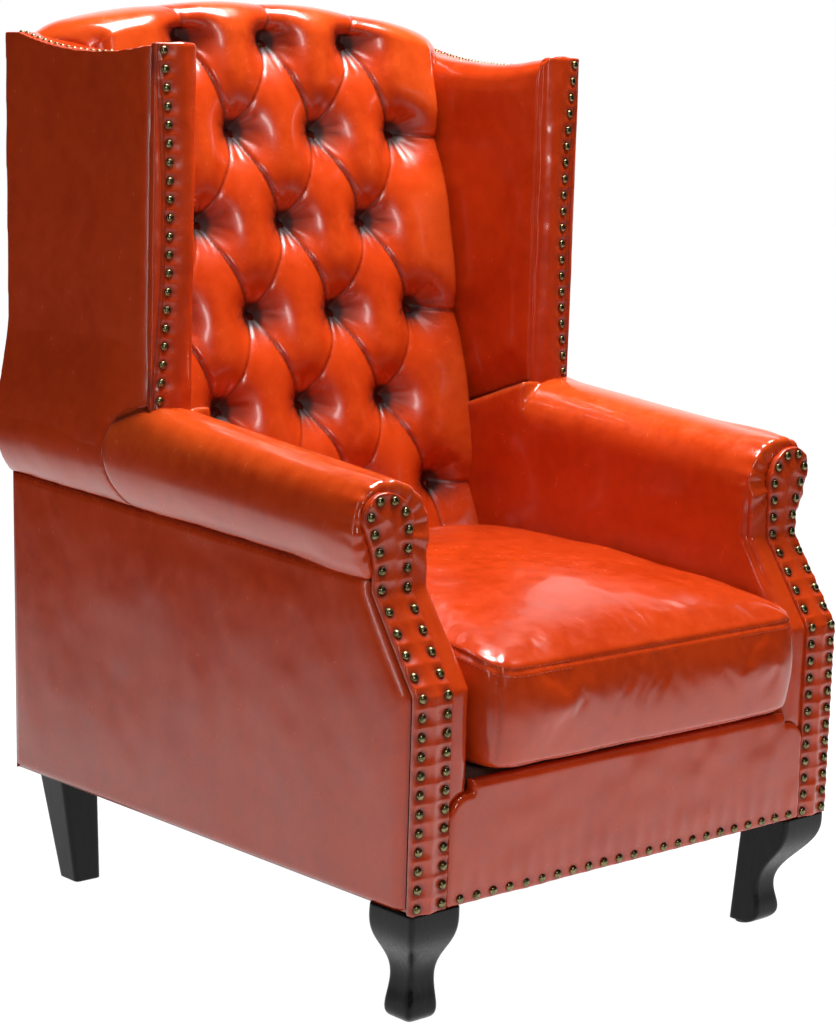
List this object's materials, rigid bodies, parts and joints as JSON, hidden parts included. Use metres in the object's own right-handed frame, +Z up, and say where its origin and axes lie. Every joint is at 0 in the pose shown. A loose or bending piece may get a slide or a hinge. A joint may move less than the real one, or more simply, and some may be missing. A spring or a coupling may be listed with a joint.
{
  "type": "leather wing armchair",
  "caption": "Deep-buttoned leather wing armchair with scroll arms, high wings, nail-trimmed edges, a loose boxed seat cushion and short black carved legs.",
  "frame": {"origin": "on the floor under the middle of the chair's bounding box", "axes": "+Z up, +X to the right and +Y to the rear, both as seen from the front"},
  "size_m": [0.7572, 0.8476, 1.151],
  "materials": {
    "leather": "polished pull-up leather, orange red",
    "button_leather": "polished leather stretched over a button",
    "brass_nail": "antique dull gold",
    "leg_wood": "black satin lacquer",
    "frame_wood": "bare sawn beech",
    "webbing": "woven jute",
    "deck_cloth": "dark lining cloth",
    "dust_cloth": "thin black cambric",
    "bolt_steel": "zinc plated",
    "glide_plastic": "hard nylon"
  },
  "bodies": {
    "chair": {"apron_nails": "brass_nail", "arm_facing_left": "leather", "arm_facing_right": "leather", "arm_post_left": "frame_wood", "arm_post_right": "frame_wood", "arm_rail_left": "frame_wood", "arm_rail_right": "frame_wood", "back_buttons": "button_leather", "back_cross_rail": "frame_wood", "back_post_left": "frame_wood", "back_post_right": "frame_wood", "back_stile_left": "frame_wood", "back_stile_right": "frame_wood", "back_top_rail": "frame_wood", "back_webbing": "webbing", "corner_blocks": "frame_wood", "dust_cover": "dust_cloth", "facing_nails_left": "brass_nail", "facing_nails_right": "brass_nail", "front_apron": "leather", "front_leg_left": "leg_wood", "front_leg_right": "leg_wood", "front_rail": "frame_wood", "glides": "glide_plastic", "inside_arm_left": "leather", "inside_arm_right": "leather", "inside_back": "leather", "inside_wing_left": "leather", "inside_wing_right": "leather", "leg_bolts": "bolt_steel", "outside_arm_left": "leather", "outside_arm_right": "leather", "outside_back": "leather", "outside_wing_left": "leather", "outside_wing_right": "leather", "rear_leg_left": "leg_wood", "rear_leg_right": "leg_wood", "rear_rail": "frame_wood", "seat_deck": "deck_cloth", "seat_webbing": "webbing", "side_rail_left": "frame_wood", "side_rail_right": "frame_wood", "wing_edge_nails_left": "brass_nail", "wing_edge_nails_right": "brass_nail", "wing_facing_left": "leather", "wing_facing_right": "leather", "wing_nails_left": "brass_nail", "wing_nails_right": "brass_nail", "wing_post_left": "frame_wood", "wing_post_right": "frame_wood", "wing_rail_left": "frame_wood", "wing_rail_right": "frame_wood"},
    "cushion": {"seat_cushion": "leather"}
  },
  "joints": [
    {"name": "cushion_lift", "type": "slide", "parent": "chair", "child": "cushion", "axis": [0, 0, 1], "range_m": [0, 0.36]}
  ]
}
